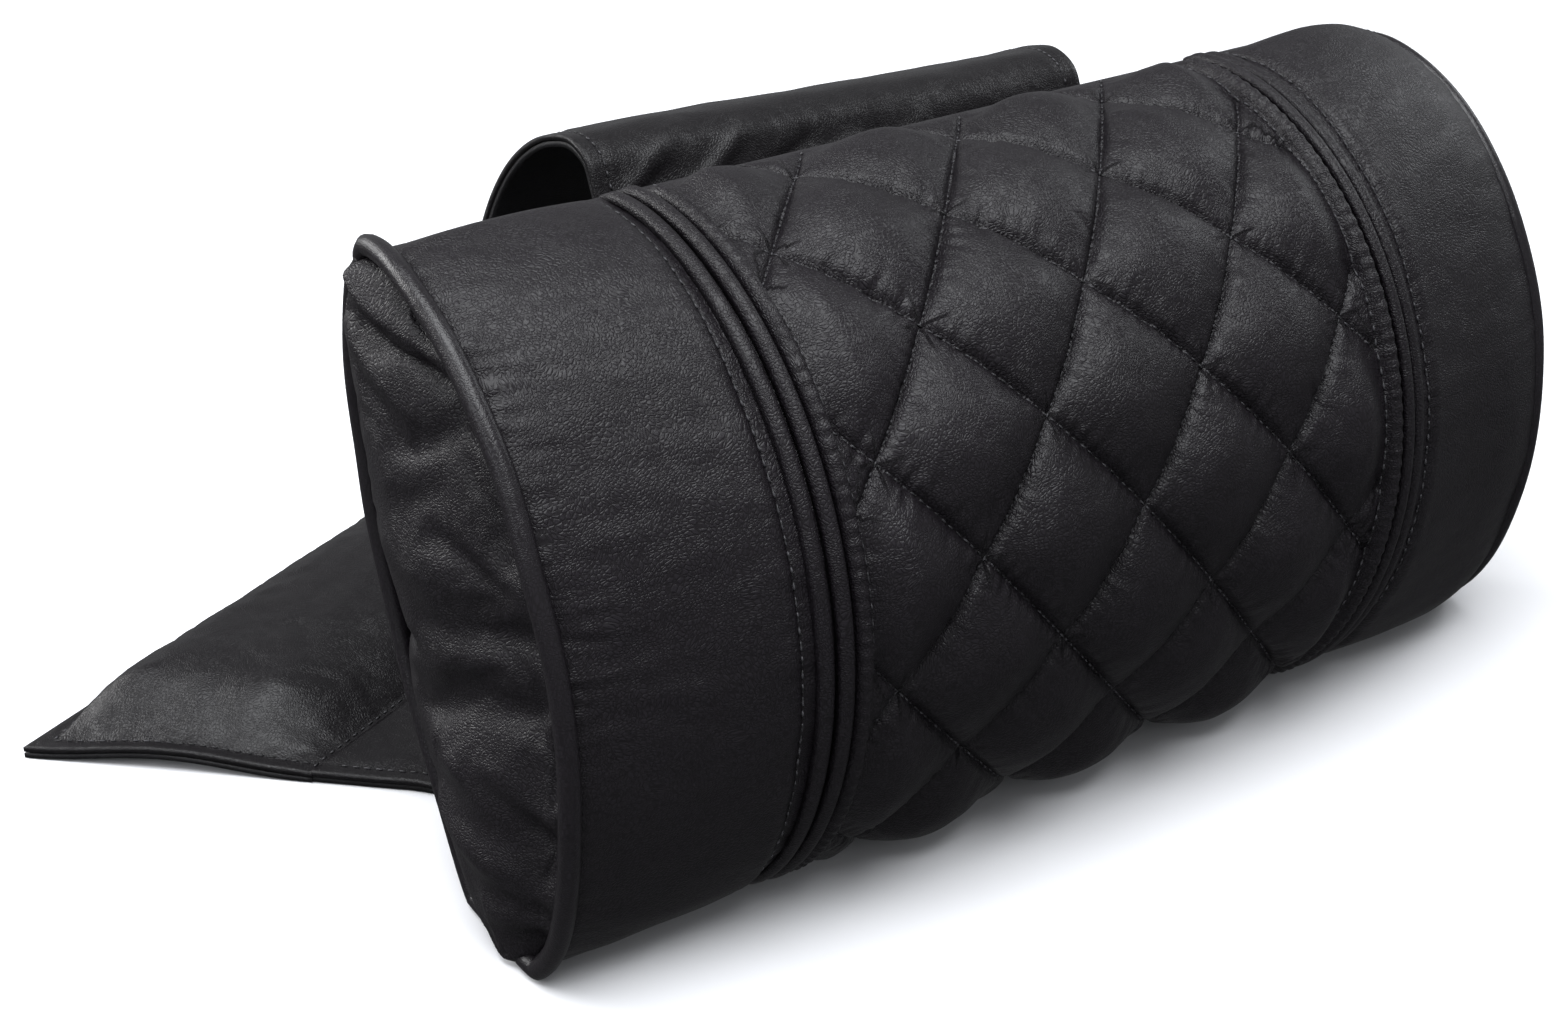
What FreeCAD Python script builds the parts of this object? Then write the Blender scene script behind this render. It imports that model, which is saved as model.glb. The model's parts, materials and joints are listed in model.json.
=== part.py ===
import FreeCAD, Part
import math
import os

# Leather neck-roll cushion with a counterweighted flap.
# Millimetres. X runs along the roll, +Y is the back (the side that rests on a
# chair), +Z is up. The origin is on the floor under the middle of the roll,
# where the front and back panels meet.

os.makedirs("parts", exist_ok=True)

# ---- driving dimensions ----
roll_length = 400.0
chord = 219.5
lean_deg = 19.0
seam_x = 109.0
front_bow_end = 65.0
front_bow_seam = 84.0
front_bow_middle = 87.0
back_bow = 39.0
base_depth = 30.0
leather = 1.2
wadding = 8.0
layer_gap = 0.2
filling_gap = 0.3

piping = 6.0
piping_height = 5.0
piping_skin = 1.2
strip_clearance = 0.3
cap_inset = 3.6
seam_ridge_width = 5.5
seam_ridge_height = 2.6
seam_ridge_gap = 0.6

flap_width = 200.0
flap_thickness = 4.0
root_height = 128.0
root_seam = 16.0
root_clearance = 2.0
crown_y = 126.0
crown_z = 204.5
body_gap = 0.4

pocket_depth = 100.0
pocket_thickness = 22.0
pocket_skin = 1.6
stitch_corner = (-212.0, 124.0)
floor_turn_deg = 25.6
pocket_run_deg = 138.2
weight_count = 4
weight_thickness = 6.0

zip_height = 58.0
zip_length = 300.0
zip_slit = 8.4
tape_width = 14.0
tape_thickness = 0.8
coil_width = 4.8
coil_height = 2.2
zip_clearance = 0.3
slider_length = 11.0
pull_length = 24.0
pull_width = 7.0
pull_thickness = 1.4

half = roll_length / 2.0
lean = math.radians(lean_deg)
along = FreeCAD.Vector(0, math.sin(lean), math.cos(lean))
forward = FreeCAD.Vector(0, -math.cos(lean), math.sin(lean))
big = 1000.0


def save(shape, name):
    shape.exportStep("parts/" + name + ".step")
    print(name, len(shape.Solids), round(shape.Volume / 1000.0, 2), "cm3")


def box(x0, x1, y0, y1, z0, z1):
    return Part.makeBox(x1 - x0, y1 - y0, z1 - z0, FreeCAD.Vector(x0, y0, z0))


def smooth(points):
    curve = Part.BSplineCurve()
    curve.interpolate(points)
    return curve.toShape()


# ---- section of the roll ----
def front_points(x, bow, inset):
    """Points up the front panel, from the floor corner to the top corner."""
    start = max(inset, 0.0) / math.cos(lean)
    stop = chord - 2.0 * inset if inset > 0 else chord - inset
    points = []
    for k in range(15):
        t = (1.0 - math.cos(math.pi * k / 14.0)) / 2.0
        skewed = t ** 1.08
        rise = (bow - inset) * (4.0 * skewed * (1.0 - skewed)) ** 0.588
        points.append(FreeCAD.Vector(x, 0, 0) + along * (start + (stop - start) * t) + forward * rise)
    return points


def back_points(x, inset):
    """Points down the back panel, from the top corner to the flat on the floor."""
    stop = chord - 2.0 * inset if inset > 0 else chord - inset
    points = [FreeCAD.Vector(x, 0, 0) + along * stop]
    for t in (0.98, 0.94, 0.88, 0.78, 0.66, 0.52, 0.38, 0.25):
        rise = (back_bow - inset) * (4.0 * t * (1.0 - t)) ** 0.643
        points.append(FreeCAD.Vector(x, 0, 0) + along * (stop * t) - forward * rise)
    points.append(FreeCAD.Vector(x, base_depth - inset, max(inset, 0.0)))
    return points


def lens_wire(x, bow, inset):
    front = front_points(x, bow, inset)
    back = back_points(x, inset)
    floor_line = Part.makeLine(back[-1], front[0])
    return Part.Wire([smooth(front), smooth(back), floor_line])


def bow_at(x):
    """Bow of the front panel, pulled in at the seams and flat at the ends."""
    if abs(x) >= seam_x:
        share = (abs(x) - seam_x) / (half - seam_x)
        return front_bow_seam + (front_bow_end - front_bow_seam) * share
    share = abs(x) / seam_x
    return front_bow_middle + (front_bow_seam - front_bow_middle) * share * share


def lens(x0, x1, inset):
    """Solid of the roll between two cross planes, inset from its outside."""
    stations = [x0] + [x for x in (-seam_x, 0.0, seam_x) if x0 < x < x1] + [x1]
    pieces = []
    for a, b in zip(stations, stations[1:]):
        wires = [lens_wire(a, bow_at(a), inset), lens_wire(b, bow_at(b), inset)]
        pieces.append(Part.makeLoft(wires, True, True))
    solid = pieces[0]
    for piece in pieces[1:]:
        solid = solid.fuse(piece)
    return solid.removeSplitter()


def half_space(front):
    """The room in front of, or behind, the plane through both long corners."""
    depth = -big if front else big
    outline = [FreeCAD.Vector(-big, 0, 0) - along * big,
               FreeCAD.Vector(-big, 0, 0) + along * big]
    outline += [outline[1] - forward * depth, outline[0] - forward * depth]
    wire = Part.makePolygon(outline + outline[:1])
    return Part.Face(wire).extrude(FreeCAD.Vector(2 * big, 0, 0))


front_room = half_space(True)
back_room = half_space(False)
cap_x = half - cap_inset
panel_x = cap_x - leather


def shell(x0, x1, outer_inset, inner_inset):
    return lens(x0, x1, outer_inset).cut(lens(x0 - 1.0, x1 + 1.0, inner_inset))


# ---- covers and filling ----
def cover_front(x0, x1):
    return shell(x0, x1, 0.0, leather).common(front_room)


save(cover_front(-seam_x, seam_x), "quilted_panel")
save(cover_front(-panel_x, -seam_x), "side_band_left")
save(cover_front(seam_x, panel_x), "side_band_right")
save(shell(-seam_x, seam_x, leather, leather + wadding).common(front_room), "quilt_wadding")
for side, name in ((-1, "end_cap_left"), (1, "end_cap_right")):
    ends = sorted((side * panel_x, side * cap_x))
    save(lens(ends[0], ends[1], 0.0), name)

# ---- zip frame: a point on the back panel, its up direction and outward normal ----
share_up = zip_height / (chord * math.cos(lean))
zip_rise = back_bow * (4.0 * share_up * (1.0 - share_up)) ** 0.643
slope = 0.01
rise_above = back_bow * (4.0 * (share_up + slope) * (1.0 - share_up - slope)) ** 0.643
zip_point = along * (chord * share_up) - forward * zip_rise
zip_above = along * (chord * (share_up + slope)) - forward * rise_above
up_dir = (zip_above - zip_point).normalize()
out_dir = FreeCAD.Vector(0, up_dir.z, -up_dir.y)


def zip_box(x0, x1, u0, u1, n0, n1):
    """A box in the zip's own frame: u up the panel, n outwards."""
    corners = []
    for u, n in ((u0, n0), (u1, n0), (u1, n1), (u0, n1)):
        corners.append(zip_point + FreeCAD.Vector(x0, 0, 0) + up_dir * u + out_dir * n)
    wire = Part.makePolygon(corners + corners[:1])
    return Part.Face(wire).extrude(FreeCAD.Vector(x1 - x0, 0, 0))


half_zip = zip_length / 2.0
half_slit = zip_slit / 2.0
tape_top = -leather - 1.6
tape_low = tape_top - tape_thickness
coil_top = tape_top + coil_height
slit = zip_box(-half_zip - 4.0, half_zip + 4.0, -half_slit, half_slit, -20.0, 20.0)
back_cover = shell(-panel_x, panel_x, 0.0, leather).common(back_room).cut(slit)
above_zip = zip_box(-big, big, 0.0, big, -big, big)
below_zip = zip_box(-big, big, -big, 0.0, -big, big)
save(back_cover.common(above_zip), "back_panel_upper")
save(back_cover.common(below_zip), "back_panel_lower")

tape_half = half_zip + 6.0
tape_reach = 1.0 + tape_width
save(zip_box(-tape_half, tape_half, 1.0, tape_reach, tape_low, tape_top), "zip_tape_upper")
save(zip_box(-tape_half, tape_half, -tape_reach, -1.0, tape_low, tape_top), "zip_tape_lower")
half_coil = coil_width / 2.0
save(zip_box(-half_zip, half_zip, -half_coil, half_coil, tape_top, coil_top), "zip_coil")
stops = []
for side in (-1, 1):
    ends = sorted((side * half_zip, side * (half_zip + 3.0)))
    stops.append(zip_box(ends[0], ends[1], -half_coil, half_coil, tape_top, coil_top + 0.8))
save(Part.makeCompound(stops), "zip_stops")

# ---- filling: the cushion inside, hollowed for the wadding and the zip ----
room_for_tapes = zip_box(-tape_half - 1, tape_half + 1, -tape_reach - 1, tape_reach + 1, tape_low - 0.5, 20.0)
filling = lens(-panel_x, panel_x, leather + filling_gap)
filling_room = shell(-seam_x, seam_x, leather / 2.0, leather + wadding + filling_gap)
filling = filling.cut(filling_room.common(front_room))
save(filling.cut(room_for_tapes), "inner_cushion")

# ---- zip slider and pull ----
slider_x = half_zip - slider_length - 0.5
wall = 1.0
tunnel_half = half_coil + zip_clearance
slider_base = tape_top + zip_clearance
tunnel_top = coil_top + zip_clearance
plate_top = tunnel_top + 1.3
slider_end = slider_x + slider_length
slider = zip_box(slider_x, slider_end, -tunnel_half - wall, tunnel_half + wall, slider_base, plate_top)
slider = slider.cut(zip_box(slider_x - 1, slider_end + 1, -tunnel_half, tunnel_half, -20.0, tunnel_top))
bridge_radius = 0.8
bridge_rise = 2.4
bar_x0 = slider_x + 1.0
bar_x1 = slider_end - 1.0
for post_x in (bar_x0, bar_x1 - 1.4):
    slider = slider.fuse(zip_box(post_x, post_x + 1.4, -0.8, 0.8, plate_top - 0.2, plate_top + bridge_rise + 0.8))
bar_centre = zip_point + out_dir * (plate_top + bridge_rise)
bar = Part.makeCylinder(bridge_radius, bar_x1 - bar_x0, bar_centre + FreeCAD.Vector(bar_x0, 0, 0),
                        FreeCAD.Vector(1, 0, 0))
slider = slider.fuse(bar)
save(slider, "zip_slider")

eye_radius = bridge_radius + 0.45
eye_outer = eye_radius + 0.9
eye_width = bar_x1 - bar_x0 - 2.8 - 2 * zip_clearance
eye_x0 = bar_x0 + 1.4 + zip_clearance
eye_at = bar_centre + FreeCAD.Vector(eye_x0, 0, 0)
eye = Part.makeCylinder(eye_outer, eye_width, eye_at, FreeCAD.Vector(1, 0, 0))
tab_y = bar_centre.y - pull_thickness / 2.0
tab_x = (bar_x0 + bar_x1) / 2.0 - pull_width / 2.0
neck = box(eye_x0, eye_x0 + eye_width, tab_y, tab_y + pull_thickness,
           bar_centre.z - eye_outer - 3.0, bar_centre.z)
tab = box(tab_x, tab_x + pull_width, tab_y, tab_y + pull_thickness,
          bar_centre.z - pull_length, bar_centre.z - eye_outer - 3.0)
pull = eye.fuse(neck).fuse(tab)
pull = pull.cut(Part.makeCylinder(eye_radius, eye_width + 2, eye_at - FreeCAD.Vector(1, 0, 0),
                                  FreeCAD.Vector(1, 0, 0)))
save(pull, "zip_pull")
print("zip bar", bar_centre)


# ---- ridges beside the two front seams ----
def ridge(x0, x1, height):
    base = lens(x0 - 1, x1 + 1, -strip_clearance)
    return lens(x0, x1, -height).cut(base).common(front_room)


for side, name in ((-1, "left"), (1, "right")):
    inner = seam_x + seam_ridge_gap
    middle = inner + seam_ridge_width
    outer = middle + seam_ridge_gap
    ends = sorted((side * inner, side * middle))
    save(ridge(ends[0], ends[1], seam_ridge_height), "seam_piping_" + name)
    ends = sorted((side * outer, side * (outer + seam_ridge_width)))
    save(ridge(ends[0], ends[1], seam_ridge_height * 0.8), "tuck_fold_" + name)

# ---- piping round the end caps, leather over a cord ----
cords = []
for side, name in ((-1, "left"), (1, "right")):
    ends = sorted((side * half, side * (half - piping)))
    base = lens(ends[0] - 1, ends[1] + 1, -strip_clearance)
    tube = lens(ends[0], ends[1], -piping_height).cut(base)
    inner_ends = (ends[0] + piping_skin, ends[1] - piping_skin)
    core = lens(inner_ends[0], inner_ends[1], -piping_height + piping_skin)
    core = core.cut(lens(inner_ends[0] - 1, inner_ends[1] + 1, -piping_skin))
    core = core.common(box(-big, big, -big, big, piping_height, chord * math.cos(lean) - piping_height))
    for room, place in ((front_room, "front"), (back_room, "back")):
        half_core = core.common(room)
        save(tube.common(room).cut(half_core), "end_piping_" + place + "_" + name)
        cords += half_core.Solids
save(Part.makeCompound(cords), "piping_cords")

# ---- the loop: the flap's first stretch, from its seam up to the crown ----
half_flap = flap_width / 2.0
layer = (flap_thickness - layer_gap) / 2.0


def back_surface(height):
    """How far back the back panel stands at a height."""
    t = height / (chord * math.cos(lean))
    for _ in range(20):
        rise = back_bow * (4.0 * t * (1.0 - t)) ** 0.643
        t += (height - (t * chord * math.cos(lean) - rise * math.sin(lean))) / (chord * math.cos(lean))
    return t * chord * math.sin(lean) + back_bow * (4.0 * t * (1.0 - t)) ** 0.643 * math.cos(lean)


root_y = back_surface(root_height) + root_clearance
seam_top_y = back_surface(root_height + root_seam) + root_clearance
loop_outline = [(root_y, root_height), (max(root_y, seam_top_y), root_height + root_seam),
                (crown_y - 26.5, crown_z - 35.0), (crown_y - 15.0, crown_z - 13.5),
                (crown_y - 9.5, crown_z - 3.2), (crown_y - body_gap / 2.0, crown_z)]


def offset_outline(points, distance):
    """The outline moved to its right-hand side, inside the loop."""
    moved = []
    for k, point in enumerate(points):
        before = points[max(k - 1, 0)]
        after = points[min(k + 1, len(points) - 1)]
        dy, dz = after[0] - before[0], after[1] - before[1]
        if k == len(points) - 1:
            dy, dz = 1.0, 0.0
        size = math.hypot(dy, dz)
        moved.append((point[0] + distance * dz / size, point[1] - distance * dy / size))
    return moved


def strip(points, depth0, depth1):
    near = [FreeCAD.Vector(-half_flap, y, z) for y, z in offset_outline(points, depth0)]
    far = [FreeCAD.Vector(-half_flap, y, z) for y, z in offset_outline(points, depth1)]
    edges = [smooth(near), Part.makeLine(near[-1], far[-1]), smooth(far[::-1]), Part.makeLine(far[0], near[0])]
    return Part.Face(Part.Wire(edges)).extrude(FreeCAD.Vector(flap_width, 0, 0))


save(strip(loop_outline, 0.0, layer), "loop_outer_leather")
save(strip(loop_outline, layer + layer_gap, flap_thickness), "loop_lining")
seam_strip = box(-half_flap, half_flap, root_y - 12.0, root_y + 30.0, root_height + 1.0,
                 root_height + root_seam - 1.0)
seam_front = [FreeCAD.Vector(-half_flap - 1, y + 0.8, z) for y, z in loop_outline[:2]]
seam_behind = [point - FreeCAD.Vector(0, 20, 0) for point in seam_front]
seam_room = Part.makePolygon([seam_behind[0], seam_front[0], seam_front[1], seam_behind[1], seam_behind[0]])
seam_room = Part.Face(seam_room).extrude(FreeCAD.Vector(flap_width + 2, 0, 0))
seam_strip = seam_strip.common(seam_room).cut(lens(-half, half, -strip_clearance))
seam_strip = seam_strip.cut(strip(loop_outline, 0.0, layer))
save(max(seam_strip.Solids, key=lambda solid: solid.Volume), "flap_seam_strip")

# ---- the flap: from the crown down behind the roll to its stitched fold ----
turn = math.radians(floor_turn_deg)
run = math.radians(pocket_run_deg)
across_floor = FreeCAD.Vector(math.cos(turn), math.sin(turn), 0)
run_floor = FreeCAD.Vector(math.cos(run), math.sin(run), 0)
stitch_start = FreeCAD.Vector(stitch_corner[0], stitch_corner[1], 0)
stitch_middle = stitch_start + across_floor * half_flap
lift = flap_thickness / 2.0 + 0.5

# centre of the flap, as x, y and z, with its turn about Z as a share of the full turn
flap_path = [
    (0.0, crown_y + body_gap / 2.0, crown_z - flap_thickness / 2.0, 0.0),
    (0.0, crown_y + 14.0, crown_z - 4.5, 0.0),
    (-1.0, crown_y + 36.0, crown_z - 16.5, 0.02),
    (-4.0, crown_y + 54.0, crown_z - 36.5, 0.08),
    (-12.0, crown_y + 62.0, crown_z - 64.5, 0.2),
    (-24.0, crown_y + 58.0, crown_z - 99.5, 0.4),
    (-38.0, crown_y + 42.0, crown_z - 134.5, 0.62),
    (-52.0, crown_y + 20.0, crown_z - 166.5, 0.82),
    (-60.0, crown_y + 5.0, crown_z - 184.5, 0.92),
    (-66.0, crown_y - 1.5, crown_z - 195.0, 0.97),
]
floor_start = stitch_middle - run_floor * 62.0
floor_middle = stitch_middle - run_floor * 34.0
stitch_end = stitch_middle - run_floor * (body_gap + 0.6)
flap_path += [
    (floor_start.x, floor_start.y, lift + 1.5, 1.0),
    (floor_middle.x, floor_middle.y, lift, 1.0),
    (stitch_end.x, stitch_end.y, lift, 1.0),
]


def flap_corners(k, depth0, depth1):
    x, y, z, share = flap_path[k]
    before = flap_path[max(k - 1, 0)]
    after = flap_path[min(k + 1, len(flap_path) - 1)]
    if k == 0:
        heading = FreeCAD.Vector(0, 1, 0)
    elif k == len(flap_path) - 1:
        heading = run_floor
    else:
        heading = FreeCAD.Vector(after[0] - before[0], after[1] - before[1], after[2] - before[2])
    across = FreeCAD.Vector(math.cos(turn * share), math.sin(turn * share), 0)
    outward = across.cross(heading).normalize()
    centre = FreeCAD.Vector(x, y, z)
    corners = []
    for side, depth in ((-1, depth0), (1, depth0), (1, depth1), (-1, depth1)):
        corners.append(centre + across * (side * half_flap) + outward * (flap_thickness / 2.0 - depth))
    return corners


def triangle(a, b, c):
    return Part.Face(Part.makePolygon([a, b, c, a]))


def flap_layer(depth0, depth1):
    """A closed sheet through the flap's stations, in flat facets."""
    rings = [flap_corners(k, depth0, depth1) for k in range(len(flap_path))]
    faces = []
    for ring, following in zip(rings, rings[1:]):
        for k in range(4):
            a, b = ring[k], ring[(k + 1) % 4]
            c, d = following[(k + 1) % 4], following[k]
            if k == 2:
                faces += [triangle(a, b, d), triangle(b, c, d)]
            else:
                faces += [triangle(a, b, c), triangle(a, c, d)]
    for ring in (rings[0], rings[-1]):
        faces += [triangle(ring[0], ring[1], ring[2]), triangle(ring[0], ring[2], ring[3])]
    solid = Part.makeSolid(Part.makeShell(faces))
    if solid.Volume < 0:
        solid.reverse()
    return solid


save(flap_layer(0.0, layer), "flap_outer_leather")
save(flap_layer(layer + layer_gap, flap_thickness), "flap_lining")


# ---- the weight pocket beyond the stitched fold ----
def pocket_wire(z, inset, raised=0.0):
    corners = []
    for u, v in ((0, 0), (1, 0), (1, 1), (0, 1)):
        a = inset + (flap_width - 2 * inset) * u
        b = body_gap + inset * 0.6 + (pocket_depth - body_gap - 1.2 * inset) * v
        corners.append(stitch_start + across_floor * a + run_floor * b + FreeCAD.Vector(0, 0, z + raised))
    return Part.makePolygon(corners + corners[:1])


def pocket_solid(skin):
    top = pocket_thickness - skin
    wires = [pocket_wire(skin, 8.0 + skin * 2.0), pocket_wire(5.0, 1.0 + skin * 2.0),
             pocket_wire(12.0, 7.0 + skin * 2.5), pocket_wire(18.0, 18.0 + skin * 3.0),
             pocket_wire(top, 32.0 + skin * 3.0)]
    return Part.makeLoft(wires, True, True)


skin = pocket_solid(0.0).cut(pocket_solid(pocket_skin))
parting = 5.0
save(skin.common(box(-big, big, -big, big, parting, big)), "pocket_top_leather")
save(skin.common(box(-big, big, -big, big, -1.0, parting)), "pocket_base_leather")

# steel plates side by side in a cloth bag, inside the pocket
bag_start = 26.0
bag_side = 22.0
bag_wall = 0.8
plate_gap = 3.0
bag_width = flap_width - 2 * bag_side
bag_depth = pocket_depth - 2 * bag_start
bag_low = pocket_skin + 0.3
bag_high = bag_low + weight_thickness + 2 * bag_wall + 1.0


def slanted(a0, a1, b0, b1, z0, z1):
    """A block whose plan follows the pocket's own slanted corners."""
    corners = []
    for a, b in ((a0, b0), (a1, b0), (a1, b1), (a0, b1)):
        corners.append(stitch_start + across_floor * a + run_floor * b + FreeCAD.Vector(0, 0, z0))
    wire = Part.makePolygon(corners + corners[:1])
    return Part.Face(wire).extrude(FreeCAD.Vector(0, 0, z1 - z0))


bag = slanted(bag_side, bag_side + bag_width, bag_start, bag_start + bag_depth, bag_low, bag_high)
bag = bag.cut(slanted(bag_side + bag_wall, bag_side + bag_width - bag_wall, bag_start + bag_wall,
                      bag_start + bag_depth - bag_wall, bag_low + bag_wall, bag_high - bag_wall))
save(bag, "weight_bag")
inner_width = bag_width - 2 * bag_wall - 2.0
plate_width = (inner_width - plate_gap * (weight_count - 1)) / weight_count
plates = []
for k in range(weight_count):
    a0 = bag_side + bag_wall + 1.0 + k * (plate_width + plate_gap)
    plates.append(slanted(a0, a0 + plate_width, bag_start + bag_wall + 1.0,
                          bag_start + bag_depth - bag_wall - 1.0, bag_low + bag_wall,
                          bag_low + bag_wall + weight_thickness))
save(Part.makeCompound(plates), "weight_plates")
print("crown hinge", crown_y, crown_z, "fold hinge", stitch_start, across_floor)
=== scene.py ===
import bpy
import bmesh
import json
import math
import numpy as np
from mathutils import Vector, Matrix, noise
from mathutils.bvhtree import BVHTree


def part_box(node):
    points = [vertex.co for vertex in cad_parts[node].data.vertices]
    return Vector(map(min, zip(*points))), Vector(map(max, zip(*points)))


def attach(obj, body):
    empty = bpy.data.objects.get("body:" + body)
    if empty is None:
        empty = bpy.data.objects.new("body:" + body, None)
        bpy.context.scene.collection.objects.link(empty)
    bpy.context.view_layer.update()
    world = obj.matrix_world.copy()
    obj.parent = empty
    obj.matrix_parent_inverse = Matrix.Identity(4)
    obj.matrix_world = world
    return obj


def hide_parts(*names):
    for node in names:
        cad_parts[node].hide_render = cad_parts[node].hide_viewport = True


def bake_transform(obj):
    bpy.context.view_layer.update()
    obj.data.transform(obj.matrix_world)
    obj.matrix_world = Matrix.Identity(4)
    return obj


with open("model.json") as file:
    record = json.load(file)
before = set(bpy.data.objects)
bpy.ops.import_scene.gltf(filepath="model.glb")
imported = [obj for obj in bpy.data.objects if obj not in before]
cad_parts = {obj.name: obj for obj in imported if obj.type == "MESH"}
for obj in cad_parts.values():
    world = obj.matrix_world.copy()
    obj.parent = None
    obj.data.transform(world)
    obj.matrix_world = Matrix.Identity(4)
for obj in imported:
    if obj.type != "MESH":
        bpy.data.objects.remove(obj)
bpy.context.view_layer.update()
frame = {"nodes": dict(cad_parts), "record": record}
mm = 0.001
floorGap = 0.2 * mm
coverWall = 1.2 * mm
bothEnds = ((-1, "Left"), (1, "Right"))

# section of the roll: a leaning lens, flat where it stands
roll = {
    "lean": math.radians(19.0),
    "chord": 219.5 * mm,
    "bowEnd": 65.0 * mm,
    "bowSeam": 84.0 * mm,
    "bowMiddle": 87.0 * mm,
    "backBow": 39.0 * mm,
    "base": 30.0 * mm,
    "backShare": 0.84,  # of the back section's length, above which it is clear of the floor
    "seam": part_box("quilted_panel")[1].x,
    "cap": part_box("end_cap_right")[1].x,
    "end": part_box("end_piping_front_right")[1].x,
}
alongDir = Vector((0.0, math.sin(roll["lean"]), math.cos(roll["lean"])))
forwardDir = Vector((0.0, -math.cos(roll["lean"]), math.sin(roll["lean"])))


# small helpers
def lin(hexColour):
    parts = [int(hexColour[i:i + 2], 16) / 255 for i in (1, 3, 5)]
    return [c / 12.92 if c <= 0.04045 else ((c + 0.055) / 1.055) ** 2.4 for c in parts] + [1.0]


def addNode(tree, kind, inputs=None, **settings):
    made = tree.nodes.new(kind)
    for name, value in settings.items():
        setattr(made, name, value)
    for name, value in (inputs or {}).items():
        if isinstance(value, bpy.types.NodeSocket):
            tree.links.new(value, made.inputs[name])
        else:
            made.inputs[name].default_value = value
    return made


def ramp(tree, value, fromMin, fromMax, toMin, toMax, shape="LINEAR"):
    inputs = {"Value": value, "From Min": fromMin, "From Max": fromMax, "To Min": toMin, "To Max": toMax}
    return addNode(tree, "ShaderNodeMapRange", inputs, interpolation_type=shape).outputs["Result"]


def calculate(tree, operation, *values):
    return addNode(tree, "ShaderNodeMath", dict(enumerate(values)), operation=operation).outputs[0]


def placed(name, data):
    made = bpy.data.objects.new(name, data)
    bpy.context.scene.collection.objects.link(made)
    return made


def objectFrom(bm, name):
    mesh = bpy.data.meshes.new(name)
    bm.to_mesh(mesh)
    bm.free()
    return placed(name, mesh)


def dress(piece, body, material, standsFor=(), thick=None, smooth=True):
    piece.data.materials.clear()
    piece.data.materials.append(material)
    for face in piece.data.polygons:
        face.use_smooth = smooth
    if thick:
        wall = piece.modifiers.new("wall", "SOLIDIFY")
        wall.thickness = thick
        wall.offset = -1.0
        wall.use_rim = True
    if isinstance(body, str):
        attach(piece, body)
    if standsFor:
        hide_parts(*standsFor)
    return piece


def smoothStep(low, high, value):
    t = np.clip((value - low) / (high - low), 0.0, 1.0)
    return t * t * (3.0 - 2.0 * t)


def ease(low, high, value):
    return float(smoothStep(low, high, value))


def bell(distance, width):
    return math.exp(-(distance / width) ** 2)


def wave(x, y, z, size, seed=0.0):
    # soft noise from -1 to 1, as large as size
    return noise.noise(Vector((x / size + seed, y / size - seed, z / size + 2.0 * seed)))


# materials
def blankMaterial(name):
    material = bpy.data.materials.new(name)
    material.use_nodes = True
    tree = material.node_tree
    tree.nodes.clear()
    return material, tree, addNode(tree, "ShaderNodeTexCoord").outputs["Object"]


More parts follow.
